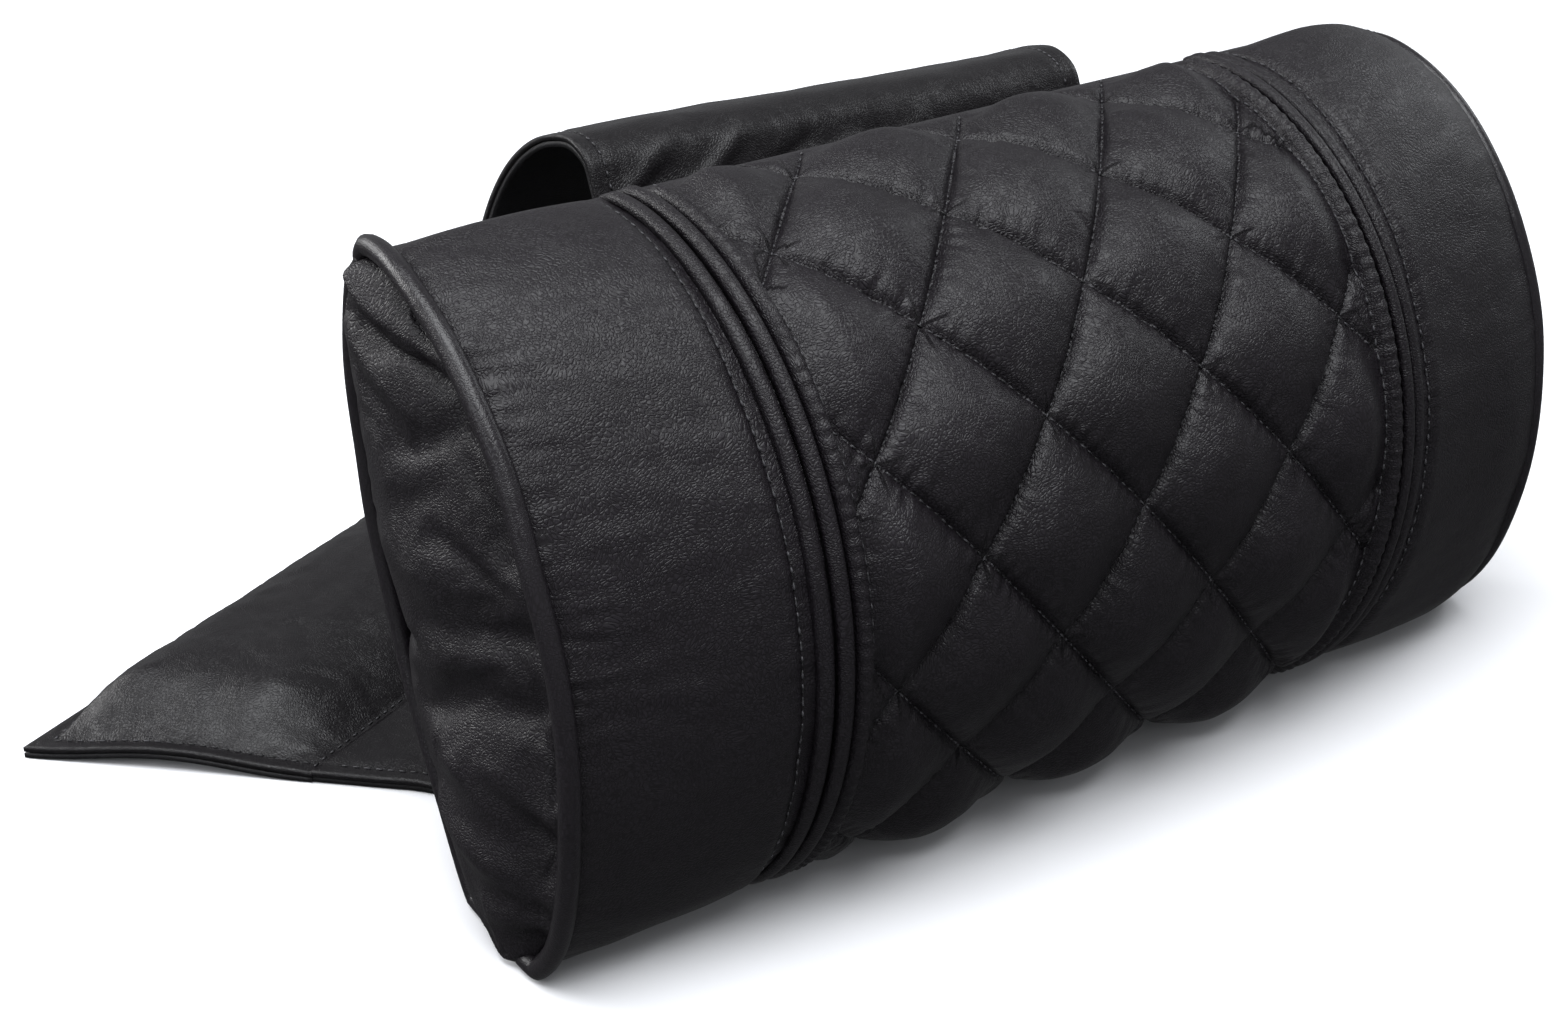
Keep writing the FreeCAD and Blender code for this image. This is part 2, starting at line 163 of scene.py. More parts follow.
def leatherMaterial(name, colour, paintedSheen, roughness, grain, depth, specular=0.25, gathered=0.0):
    # Chrome-tanned cowhide, pigmented black and lightly finished: a pebbled grain that
    # breaks a soft broad highlight; the colour is painted lighter on the grain's high spots, a painted
    # sheen.
    material, tree, place = blankMaterial(name)
    warp = addNode(tree, "ShaderNodeTexNoise", {"Vector": place, "Scale": 60.0, "Detail": 2.0})
    moved = addNode(tree, "ShaderNodeMix", {"Factor": 0.012, "A": place, "B": warp.outputs["Color"]},
                    data_type="VECTOR")
    cells = addNode(tree, "ShaderNodeTexVoronoi",
                    {"Vector": moved.outputs["Result"], "Scale": 1.0 / grain, "Randomness": 1.0},
                    feature="DISTANCE_TO_EDGE")
    pebble = ramp(tree, cells.outputs["Distance"], 0.0, 0.26, 0.0, 1.0, "SMOOTHSTEP")
    fine = addNode(tree, "ShaderNodeTexNoise",
                   {"Vector": place, "Scale": 0.9 / grain, "Detail": 5.0, "Roughness": 0.6})
    pores = addNode(tree, "ShaderNodeTexNoise",
                    {"Vector": place, "Scale": 2.2 / grain, "Detail": 2.0, "Roughness": 0.5})
    broad = addNode(tree, "ShaderNodeTexNoise", {"Vector": place, "Scale": 9.0, "Detail": 3.0})
    height = calculate(tree, "MULTIPLY", pebble, 0.85)
    height = calculate(tree, "MULTIPLY_ADD", fine.outputs["Fac"], 0.6, height)
    height = calculate(tree, "MULTIPLY_ADD", pores.outputs["Fac"], 0.12, height)
    bump = addNode(tree, "ShaderNodeBump", {"Height": height, "Distance": depth, "Strength": 1.0})
    if gathered:
        # gather holds, for each point, the run along the nearest seam and the distance from it, in metres
        seam = addNode(tree, "ShaderNodeAttribute", attribute_name="gather")
        split = addNode(tree, "ShaderNodeSeparateXYZ", {"Vector": seam.outputs["Vector"]})
        foldWidth, foldLength = 2.4 * mm, 15.0 * mm
        stretch = addNode(tree, "ShaderNodeVectorMath",
                          {0: seam.outputs["Vector"], 1: (1.0 / foldWidth, 1.0 / foldLength, 0.0)},
                          operation="MULTIPLY")
        lines = addNode(tree, "ShaderNodeTexNoise",
                        {"Vector": stretch.outputs["Vector"], "Scale": 1.0, "Detail": 2.0})
        fade = ramp(tree, split.outputs["Y"], 0.6 * mm, 8.0 * mm, 1.0, 0.0, "SMOOTHSTEP")
        folds = calculate(tree, "MULTIPLY", lines.outputs["Fac"], fade)
        groove = ramp(tree, split.outputs["Y"], 0.0, 1.0 * mm, -0.6, 0.0, "SMOOTHSTEP")
        folds = calculate(tree, "ADD", folds, groove)
        bump = addNode(tree, "ShaderNodeBump",
                       {"Height": folds, "Distance": gathered, "Normal": bump.outputs["Normal"]})
    # painted sheen: the grain's high spots take the lighter second colour, as if catching the light
    tint = addNode(tree, "ShaderNodeMix",
                   {"Factor": pebble, "A": lin(colour), "B": lin(paintedSheen)}, data_type="RGBA")
    shade = ramp(tree, broad.outputs["Fac"], 0.3, 0.7, 0.82, 1.12)
    tinted = addNode(tree, "ShaderNodeVectorMath", {0: tint.outputs["Result"], 1: shade},
                     operation="MULTIPLY")
    rough = ramp(tree, fine.outputs["Fac"], 0.25, 0.75, roughness - 0.06, roughness + 0.08)
    shader = addNode(tree, "ShaderNodeBsdfPrincipled",
                     {"Base Color": tinted.outputs["Vector"], "Roughness": rough,
                      "IOR": 1.5, "Specular IOR Level": specular, "Normal": bump.outputs["Normal"]})
    addNode(tree, "ShaderNodeOutputMaterial", {"Surface": shader.outputs["BSDF"]})
    return material


def threadMaterial():
    # Bonded polyester sewing thread, three plies twisted and waxed: dull, with a fine slanting twist.
    material, tree, place = blankMaterial("bondedPolyesterThread")
    twist = addNode(tree, "ShaderNodeTexWave", {"Vector": place, "Scale": 1.0 / (0.8 * mm) / 6.28},
                    bands_direction="DIAGONAL")
    bump = addNode(tree, "ShaderNodeBump",
                   {"Height": twist.outputs["Fac"], "Distance": 0.1 * mm, "Strength": 0.7})
    colour = addNode(tree, "ShaderNodeMix",
                     {"Factor": twist.outputs["Fac"], "A": lin("#131314"), "B": lin("#3a393c")},
                     data_type="RGBA")
    shader = addNode(tree, "ShaderNodeBsdfPrincipled",
                     {"Base Color": colour.outputs["Result"], "Roughness": 0.5, "Specular IOR Level": 0.3,
                      "Normal": bump.outputs["Normal"]})
    addNode(tree, "ShaderNodeOutputMaterial", {"Surface": shader.outputs["BSDF"]})
    return material


def plainMaterial(name, colour, roughness, metallic=0.0, grainScale=900.0, bumpDepth=0.05 * mm,
                  spread=0.2):
    material, tree, place = blankMaterial(name)
    grain = addNode(tree, "ShaderNodeTexNoise", {"Vector": place, "Scale": grainScale, "Detail": 3.0})
    bump = addNode(tree, "ShaderNodeBump", {"Height": grain.outputs["Fac"], "Distance": bumpDepth})
    shade = ramp(tree, grain.outputs["Fac"], 0.0, 1.0, 1.0 - spread, 1.0 + spread)
    colourNode = addNode(tree, "ShaderNodeVectorMath", {0: lin(colour)[:3], 1: shade},
                         operation="MULTIPLY")
    shader = addNode(tree, "ShaderNodeBsdfPrincipled",
                     {"Base Color": colourNode.outputs["Vector"], "Roughness": roughness,
                      "Metallic": metallic, "Normal": bump.outputs["Normal"]})
    addNode(tree, "ShaderNodeOutputMaterial", {"Surface": shader.outputs["BSDF"]})
    return material


hide = leatherMaterial("blackPebbledCowhide", "#0f0c0f", "#171418", 0.42, 1.15 * mm, 0.13 * mm)
stretchedHide = leatherMaterial("blackCowhideOverCord", "#0f0c0f", "#171418", 0.34, 1.0 * mm, 0.05 * mm,
                                0.34)
seamedHide = leatherMaterial("blackPebbledCowhideSeamed", "#0f0c0f", "#171418", 0.42, 1.15 * mm, 0.13 * mm,
                             gathered=0.55 * mm)
flapHide = leatherMaterial("blackGlazedCowhide", "#0c0a0c", "#121012", 0.36, 1.0 * mm, 0.08 * mm, 0.24)
liningHide = leatherMaterial("blackLiningLeather", "#0f0e10", "#161517", 0.5, 0.9 * mm, 0.08 * mm)
thread = threadMaterial()
finishes = {
    "zip_tape": plainMaterial("wovenPolyesterTape", "#121213", 0.8, 0.0, 1500.0, 0.15 * mm),
    "zip_coil": plainMaterial("mouldedNylonCoil", "#151516", 0.42),
    "zip_metal": plainMaterial("blackEnamelledZinc", "#1a1a1b", 0.32, 0.0, 400.0),
    "filling": plainMaterial("blackNonWovenCover", "#1b1a1c", 0.85, 0.0, 700.0, 0.2 * mm),
    "cord": plainMaterial("twistedCottonCord", "#cfc8b8", 0.9),
    "bag_cloth": plainMaterial("wovenCottonDuck", "#b5ad9c", 0.9),
    "steel": plainMaterial("rolledMildSteel", "#8b8c8e", 0.35, 1.0),
    "wadding": plainMaterial("bondedPolyesterWadding", "#e6e4df", 0.95),
    "leather": hide,
    "lining": liningHide,
    "thread": thread,
}
print("materials made")


# the roll's surface
def bowAt(x):
    far = abs(x)
    if far >= roll["seam"]:
        share = (far - roll["seam"]) / (roll["end"] - roll["seam"])
        return roll["bowSeam"] + (roll["bowEnd"] - roll["bowSeam"]) * share
    return roll["bowMiddle"] + (roll["bowSeam"] - roll["bowMiddle"]) * (far / roll["seam"]) ** 2


steps = (1.0 - np.cos(np.pi * np.linspace(0.0, 1.0, 241))) / 2.0
skewed = steps ** 1.08
frontRise = (4.0 * skewed * (1.0 - skewed)) ** 0.588


def endDraw(x):
    # the filling is slacker at the right end, so its upper corner sits lower
    return 5.0 * mm * float(np.clip((x - 150.0 * mm) / (50.0 * mm), 0.0, 1.0)) ** 1.6


def withNormals(y, z):
    # adds the outward normal and the arc length to a section
    s = np.concatenate([[0.0], np.cumsum(np.hypot(np.diff(y), np.diff(z)))])
    dy, dz = np.gradient(y), np.gradient(z)
    size = np.hypot(dy, dz)
    return y, z, -dz / size, dy / size, s


def sectionAt(section, at):
    # y, z and the outward normal at one arc length
    return [np.interp(at, section[4], values) for values in section[:4]]


def frontSection(x):
    # y, z, outward normal and arc length up the front, for one cross plane
    bow = bowAt(x)
    y = roll["chord"] * steps * alongDir.y + bow * frontRise * forwardDir.y
    z = roll["chord"] * steps * alongDir.z + bow * frontRise * forwardDir.z
    down = endDraw(x) * smoothStep(0.45, 1.0, steps)
    return withNormals(y - down * alongDir.y, z - down * alongDir.z)


def backSection(x):
    # the same down the back, from the top corner to the flat, then forward along the floor
    t = np.array([1.0, 0.98, 0.94, 0.88, 0.78, 0.66, 0.52, 0.38, 0.25])
    rise = roll["backBow"] * (4.0 * t * (1.0 - t)) ** 0.643
    down = endDraw(x) * smoothStep(0.45, 1.0, t)
    y = np.append((roll["chord"] * t - down) * alongDir.y - rise * forwardDir.y, roll["base"])
    z = np.append((roll["chord"] * t - down) * alongDir.z - rise * forwardDir.z, 0.0)
    rough = np.concatenate([[0.0], np.cumsum(np.hypot(np.diff(y), np.diff(z)))])
    even = np.linspace(0.0, rough[-1], 161)
    y, z = smoothLine(rough, y, even), smoothLine(rough, z, even)
    y, z = np.append(y, np.linspace(roll["base"] * 0.95, 0.0, 26)), np.append(z, np.zeros(26))
    # towards each end the flat rounds off into the point of the cap
    rounded = ease(110.0 * mm, 192.0 * mm, abs(x))
    for _ in range(int(150 * rounded)):
        y[1:-1] = (y[:-2] + 2.0 * y[1:-1] + y[2:]) / 4.0
        z[1:-1] = (z[:-2] + 2.0 * z[1:-1] + z[2:]) / 4.0
    return withNormals(y, z)


def smoothLine(at, values, wanted):
    # a curve through the values, with slopes taken from their neighbours
    slope = np.gradient(values, at)
    k = np.clip(np.searchsorted(at, wanted) - 1, 0, len(at) - 2)
    span = at[k + 1] - at[k]
    t = (wanted - at[k]) / span
    return ((2 * t ** 3 - 3 * t ** 2 + 1) * values[k] + (t ** 3 - 2 * t ** 2 + t) * span * slope[k]
            + (-2 * t ** 3 + 3 * t ** 2) * values[k + 1] + (t ** 3 - t ** 2) * span * slope[k + 1])


def wrapSheet(name, section, x0, x1, sFrom, sTo, columns, rows, height, gather=None):
    # a grid laid round the roll; height(x, s, length) raises it from the section, and
    # sFrom and sTo are shares of the section's length, fixed or worked out from x
    bm = bmesh.new()
    bmesh.ops.create_grid(bm, x_segments=columns, y_segments=rows, size=1.0)
    groups = {}
    for vertex in bm.verts:
        groups.setdefault(round(vertex.co.x, 5), []).append(vertex)
    seams = [(0.0, 0.0, 0.0)] * len(bm.verts)
    for across, column in groups.items():
        x = x0 + (x1 - x0) * (across + 1.0) / 2.0
        line = section(x)
        length = line[4][-1]
        low = sFrom(x) if callable(sFrom) else sFrom
        high = sTo(x) if callable(sTo) else sTo
        for vertex in column:
            at = length * (low + (high - low) * (vertex.co.y + 1.0) / 2.0)
            up = height(x, at, length)
            py, pz, qy, qz = sectionAt(line, at)
            vertex.co = Vector((x, py + up * qy, max(pz + up * qz, floorGap)))
            if gather:
                seams[vertex.index] = (*gather(x, at), 0.0)
    bmesh.ops.recalc_face_normals(bm, faces=bm.faces)
    made = objectFrom(bm, name)
    if gather:
        layer = made.data.attributes.new("gather", "FLOAT_VECTOR", "POINT")
        layer.data.foreach_set("vector", np.array(seams, dtype=np.float32).ravel())
    return made


def faceOutward(piece, centre):
    # turn an open sheet so that its faces point away from the roll's middle
    mesh = piece.data
    total = sum((face.center - centre).dot(face.normal) * face.area for face in mesh.polygons)
    if total < 0:
        mesh.flip_normals()
    return piece


rollCentre = Vector((0.0, 15.0 * mm, 100.0 * mm))


# quilted front panel
ridges = {"gap": 0.6 * mm, "width": 5.5 * mm, "rise": 3.0 * mm, "secondRise": 2.4 * mm, "stitch": 6.0 * mm}
quilt = {
    "halfWide": 30.4 * mm,
    "halfHigh": 37.2 * mm,
    "rowStart": 26.3 * mm,
    "puff": 7.5 * mm,
    "sunk": -3.0 * mm,
    "crease": 1.5 * mm,
    "creaseWidth": 1.2 * mm,
    "pucker": 0.6 * mm,
    "dimple": 0.28 * mm,
    "lowPuff": 3.0 * mm,
    "edgeRoll": 6.0 * mm,
    "edgeRise": 2.2 * mm,
    "stitch": 3.4 * mm,
}


def quiltFolds(x, s):
    # distance from the nearest stitch line of each family, from 0 on it to 1 midway
    p = (s - quilt["rowStart"]) / quilt["halfHigh"] + 1.0 + x / quilt["halfWide"]
    q = (s - quilt["rowStart"]) / quilt["halfHigh"] + 1.0 - x / quilt["halfWide"]
    return abs((p + 1.0) % 2.0 - 1.0), abs((q + 1.0) % 2.0 - 1.0), p, q


def lowBulge(s):
    # the filling settles, so the cover swells a little just above the floor
    return quilt["lowPuff"] * bell(s - 26.0 * mm, 22.0 * mm)


def endFade(s, length):
    return ease(0.0, 5.0 * mm, s) * ease(0.0, 14.0 * mm, length - s)


lineSpacing = 1.0 / math.hypot(1.0 / quilt["halfWide"], 1.0 / quilt["halfHigh"])


def quiltHeight(x, s, length):
    fp, fq, p, q = quiltFolds(x, s)
    edge = roll["seam"] - abs(x)
    inside = ease(quilt["edgeRoll"], quilt["edgeRoll"] + 14.0 * mm, edge)
    dome = (1.0 - (1.0 - fp) ** 2.4) * (1.0 - (1.0 - fq) ** 2.4)
    up = quilt["sunk"] + quilt["puff"] * dome * (0.35 + 0.65 * inside)
    near = min(fp, fq) * lineSpacing
    up -= quilt["crease"] * bell(near, quilt["creaseWidth"])
    # the leather gathers in short puckers across each stitch line
    run = (p if fq < fp else q) * lineSpacing
    fade = bell(near - 3.0 * mm, 4.0 * mm)
    gather = 0.55 + 0.9 * wave(x, s, 0.0, 30.0 * mm, 3.2)
    lines = 1.0 - 4.0 * abs(wave(run, near * 0.16, 0.0, 4.6 * mm, 3.0))
    up += quilt["pucker"] * max(0.2, gather) * fade * lines
    up += 0.7 * mm * bell(near, 10.0 * mm) * wave(run, near * 0.3, 1.0, 7.0 * mm, 3.5)
    up += 1.0 * mm * wave(x, s, 0.0, 24.0 * mm, 1.0) * dome
    up += 0.3 * mm * wave(x, s, 0.0, 8.0 * mm, 2.0) * dome
    up += lowBulge(s)
    # roll at the edge beside the topstitch, then down into the seam
    if edge < quilt["edgeRoll"] + 2.0 * mm:
        t = edge / quilt["edgeRoll"]
        hump = math.sqrt(max(0.0, 1.0 - (2.0 * t - 1.0) ** 2)) if t < 1.0 else 0.0
        blendIn = ease(quilt["edgeRoll"] - 1.0 * mm, quilt["edgeRoll"] + 2.0 * mm, edge)
        rollUp = quilt["edgeRise"] * hump - 1.5 * mm * (1.0 - hump)
        rollUp += quilt["dimple"] * math.sin(2.0 * math.pi * s / (ridges["stitch"] * 0.8)) * hump
        up = rollUp * (1.0 - blendIn) + up * blendIn
    return up * endFade(s, length)


def quiltGather(x, s):
    fp, fq, p, q = quiltFolds(x, s)
    edge = roll["seam"] - abs(x)
    if edge < quilt["edgeRoll"] + 1.5 * mm:
        return s, abs(edge - quilt["edgeRoll"] - 0.5 * mm)
    near = min(fp, fq) * lineSpacing
    toEdge = edge - quilt["edgeRoll"] - 0.5 * mm
    return (s, toEdge) if toEdge < near else ((p if fq < fp else q) * lineSpacing, near)


quiltPanel = wrapSheet("quiltedPanel", frontSection, -roll["seam"] - 0.4 * mm, roll["seam"] + 0.4 * mm,
                       0.0, 1.0, 220, 280, quiltHeight, quiltGather)
faceOutward(quiltPanel, rollCentre)
dress(quiltPanel, "bolster", seamedHide, ["quilted_panel", "quilt_wadding"], thick=coverWall)
print("quilted panel", len(quiltPanel.data.polygons))


# side bands
bandStart = roll["seam"] + 2 * (ridges["gap"] + ridges["width"])
bandForm = {"rise": 2.4 * mm, "topPuff": 4.6 * mm, "rimDrop": (2.6 * mm, 3.6 * mm),
            "rimWidth": (7.0 * mm, 26.0 * mm), "rimFold": (1.1 * mm, 0.25 * mm)}


def bandHeight(x, s, length):
    fromSeam = abs(x) - bandStart
    toEnd = roll["cap"] - abs(x)
    middle = math.sin(math.pi * min(1.0, max(0.0, fromSeam / (roll["cap"] - bandStart)))) ** 0.8
    up = bandForm["rise"] * ease(0.0, 9.0 * mm, fromSeam) - 1.2 * mm
    up += bandForm["topPuff"] * middle * ease(0.62, 0.88, s / length)
    end = 0 if x < 0 else 1
    up -= bandForm["rimDrop"][end] * float(np.clip(1.0 - toEnd / bandForm["rimWidth"][end], 0.0, 1.0)) ** 2
    up += 1.2 * mm * wave(x, s, 0.0, 45.0 * mm, 4.0)
    up += 0.4 * mm * wave(x * 0.6, s * 1.6, 0.0, 14.0 * mm, 5.0)
    # short folds that run in from the end piping, strongest in two places on the left
    fold = bell(toEnd, 20.0 * mm)
    share = s / length
    gathered = 0.35 + bell(share - 0.80, 0.10) + bell(share - 0.47, 0.06)
    up += bandForm["rimFold"][end] * fold * gathered * wave(x * 0.16, s, 0.0, 5.0 * mm, 6.0)
    up += 0.35 * bandForm["rimFold"][end] * fold * gathered * wave(x * 0.3, s, 0.0, 2.6 * mm, 7.0)
    # the cover pulls slightly against the stitched edge
    up += 0.35 * mm * bell(fromSeam, 9.0 * mm) * wave(x * 0.3, s, 0.0, 4.5 * mm, 7.5)
    up -= 0.6 * mm * bell(fromSeam - 4.0 * mm, 1.2 * mm)
    up += lowBulge(s) * middle
    return up * endFade(s, length)


def bandGather(x, s):
    # fine folds lie beside the stitch line, and on the left run further in from the end piping
    toStitch = abs(abs(x) - bandStart - 4.0 * mm)
    toEnd = roll["cap"] - abs(x)
    if x < 0.0 and toEnd * 0.4 + 1.6 * mm < toStitch:
        return s * 0.8, toEnd * 0.4 + 1.6 * mm
    return s, toStitch


bandPieces = {}
for side, word in bothEnds:
    inner, outer = side * roll["seam"], side * roll["cap"]
    band = wrapSheet("sideBand" + word, frontSection, inner, outer, 0.0, 1.0, 96, 244,
                     bandHeight, bandGather)
    faceOutward(band, rollCentre + Vector((side * 0.15, 0, 0)))
    bandPieces[word] = band
    dress(band, "bolster", seamedHide, ["side_band_" + word.lower()], thick=coverWall)
    for k, (node, label, rise) in enumerate((("seam_piping_", "seamPiping", ridges["rise"]),
                                             ("tuck_fold_", "tuckFold", ridges["secondRise"]))):
        near = roll["seam"] + ridges["gap"] + k * (ridges["gap"] + ridges["width"])
        far = near + ridges["width"]

        def ridgeHeight(x, s, length, near=near, far=far, rise=rise):
            t = 2.0 * (abs(x) - near) / (far - near) - 1.0
            ends = ease(0.0, 6.0 * mm, min(s, length - s))
            return (rise * math.sqrt(max(0.0, 1.0 - t * t)) - 0.6 * mm) * (0.4 + 0.6 * ends)

        ridge = wrapSheet(label + word, frontSection, side * near, side * far, 0.0, 1.0, 8, 150,
                          ridgeHeight)
        faceOutward(ridge, rollCentre + Vector((side * 0.11, 0, 0)))
        dress(ridge, "bolster", hide, [node + word.lower()], thick=0.8 * mm)
print("bands made")


piping = {
    "radius": {"Left": 3.4 * mm, "Right": 2.9 * mm},
    "frontProud": {"Left": 1.8 * mm, "Right": -3.4 * mm},
    "backProud": {"Left": 3.6 * mm, "Right": -1.5 * mm},
    "wobble": 1.3 * mm,
    "tail": 9.0 * mm,
    "tuck": 14.0 * mm,
}


# back panels
def underPiping(side):
    # how far the edges beside the back piping stand out to meet it
    return max(0.0, piping["backProud"]["Left" if side < 0 else "Right"] - 1.2 * mm)


def backHeight(x, s, length):
    flatStart = length * roll["backShare"]
    if s >= flatStart:
        return 0.0
    up = 1.0 * mm * wave(x, s, 0.0, 50.0 * mm, 8.0) + 0.4 * mm * wave(x, s, 0.0, 16.0 * mm, 9.0)
    up += underPiping(x) * ease(roll["cap"] - 14.0 * mm, roll["cap"], abs(x))
    return up * ease(0.0, 12.0 * mm, min(s, flatStart - s))


backY, backZ, backNy, backNz, backS = backSection(0.0)
tapeLow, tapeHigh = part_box("zip_coil")
zipMiddle = (tapeLow + tapeHigh) / 2
zipShare = backS[np.hypot(backY - zipMiddle.y, backZ - zipMiddle.z).argmin()] / backS[-1]
zipForm = {"pitch": 1.5 * mm, "tooth": 0.55 * mm, "halfWide": 2.3 * mm, "stagger": 0.45 * mm,
           "tapeSink": -2.1 * mm, "tapeWide": 13.0 * mm, "tapeGap": 0.4 * mm, "weave": 1.2 * mm,
           "weaveRise": 0.06 * mm, "slit": 4.2 * mm, "closing": 5.0 * mm, "leastShare": 0.0002}
slitShare = zipForm["slit"] / backS[-1]


def slitAt(x):
    # the slit closes just past each end of the zip
    return slitShare * ease(tapeHigh.x + zipForm["closing"], tapeHigh.x, abs(x)) + zipForm["leastShare"]


for name, node, sFrom, sTo, rows in (
        ("backPanelUpper", "back_panel_upper", 0.0, lambda x: zipShare - slitAt(x), 110),
        ("backPanelLower", "back_panel_lower", lambda x: zipShare + slitAt(x), 1.0, 60)):
    panel = wrapSheet(name, backSection, -roll["cap"], roll["cap"], sFrom, sTo, 100, rows, backHeight)
    faceOutward(panel, rollCentre)
    dress(panel, "bolster", hide, [node], thick=coverWall)


# zip: woven tapes behind the slit and two interleaved rows of coil teeth
def tapeHeight(x, s, length):
    warp, weft = (math.sin(at / zipForm["weave"] * math.pi) for at in (x, s))
    return zipForm["tapeSink"] + zipForm["weaveRise"] * warp * weft


tapeShare, gapShare = zipForm["tapeWide"] / backS[-1], zipForm["tapeGap"] / backS[-1]
for name, node, sFrom, sTo in (
        ("zipTapeUpper", "zip_tape_upper", zipShare - tapeShare, zipShare - gapShare),
        ("zipTapeLower", "zip_tape_lower", zipShare + gapShare, zipShare + tapeShare)):
    tape = wrapSheet(name, backSection, tapeLow.x, tapeHigh.x, sFrom, sTo, 300, 14, tapeHeight)
    faceOutward(tape, rollCentre)
    dress(tape, "bolster", finishes["zip_tape"], [node], thick=0.6 * mm)
along = Vector((1.0, 0.0, 0.0))
out = Vector((0.0, *(np.interp(zipMiddle.z, backZ[::-1], n[::-1]) for n in (backNy, backNz)))).normalized()
slope = out.cross(along)
frameTurn = Matrix((along, out, slope)).transposed().to_4x4()
bm = bmesh.new()
for k in range(int((tapeHigh.x - tapeLow.x) / zipForm["pitch"])):
    x = tapeLow.x + (k + 0.5) * zipForm["pitch"]
    shift = zipForm["stagger"] * (1 if k % 2 else -1)
    place = Matrix.Translation(Vector((x, zipMiddle.y, zipMiddle.z)) + slope * shift) @ frameTurn
    place = place @ Matrix.Diagonal((zipForm["tooth"], zipForm["tooth"] * 1.7, zipForm["halfWide"], 1.0))
    bmesh.ops.create_cone(bm, cap_ends=True, segments=8, radius1=1.0, radius2=1.0, depth=2.0, matrix=place)
teeth = objectFrom(bm, "zipTeeth")
dress(teeth, "bolster", finishes["zip_coil"], ["zip_coil"], smooth=False)
print("back and zip made", round(zipShare, 3))


def inflate(piece, held, pressure, grow, most, frames=20):
    # Cloth: pressure swells the sheet between its held edges and the spare leather gathers in folds
    scene = bpy.context.scene
    group = piece.vertex_groups.new(name="held")
    group.add(held, 1.0, "REPLACE")
    cloth = piece.modifiers.new("cloth", "CLOTH")
    settings = cloth.settings
    settings.quality = 8
    settings.mass = 0.25
    settings.tension_stiffness = settings.compression_stiffness = 22.0
    settings.shear_stiffness = 8.0
    settings.bending_stiffness = 0.6
    settings.vertex_group_mass = "held"
    settings.use_pressure = True
    settings.uniform_pressure_force = pressure
    settings.shrink_min = -grow
    settings.effector_weights.gravity = 0.0
    cloth.collision_settings.use_collision = False
    cloth.point_cache.frame_start, cloth.point_cache.frame_end = 1, frames
    for frameNumber in range(1, frames + 1):
        scene.frame_set(frameNumber)
    swollen = piece.evaluated_get(bpy.context.evaluated_depsgraph_get())
    moved = [vertex.co.copy() for vertex in swollen.data.vertices]
    piece.modifiers.remove(cloth)
    piece.vertex_groups.remove(group)
    scene.frame_set(1)
    furthest = 0.0
    for vertex, place in zip(piece.data.vertices, moved):
        step = place - vertex.co
        furthest = max(furthest, step.length)
        if step.length > most:
            step *= most / step.length
        vertex.co += step
        vertex.co.z = max(vertex.co.z, floorGap)
    print("cloth", piece.name, "pushed up to", round(furthest / mm, 1), "mm, kept to", round(most / mm, 1))


# end caps: full beside the back piping, drawn in beside the front one; folds are
# (across, up) from, (across, up) to, half width, height
capForm = {
    "bulge": 9.0 * mm,
    "hollow": 6.5 * mm,
    "folds": (
        ((0.63, 0.37), (0.18, 0.29), 0.030, 3.2 * mm), ((0.72, 0.28), (0.12, 0.17), 0.032, 3.6 * mm),
        ((0.52, 0.16), (0.10, 0.12), 0.022, 2.4 * mm), ((0.70, 0.42), (0.22, 0.42), 0.030, -3.0 * mm),
        ((0.45, 0.345), (0.16, 0.25), 0.020, -2.6 * mm), ((0.60, 0.95), (0.16, 0.80), 0.024, 2.8 * mm),
        ((0.80, 0.90), (0.22, 0.70), 0.028, 2.4 * mm), ((0.52, 0.86), (0.14, 0.74), 0.020, -2.4 * mm),
        ((0.70, 0.60), (0.18, 0.55), 0.030, 2.0 * mm), ((0.58, 0.52), (0.14, 0.49), 0.020, -1.8 * mm),
    ),
}


def foldHeight(folds, u, v, squeeze=1.0):
    # soft ridges and valleys, each along a line from one place to another
    total = 0.0
    for (u0, v0), (u1, v1), width, height in folds:
        dx, dy = (u1 - u0) * squeeze, v1 - v0
        px, py = (u - u0) * squeeze, v - v0
        t = min(1.0, max(0.0, (px * dx + py * dy) / (dx * dx + dy * dy)))
        away = math.hypot(px - t * dx, py - t * dy)
        total += height * bell(away, width) * (0.45 + 0.55 * math.sin(math.pi * (0.15 + 0.7 * t)))
    return total


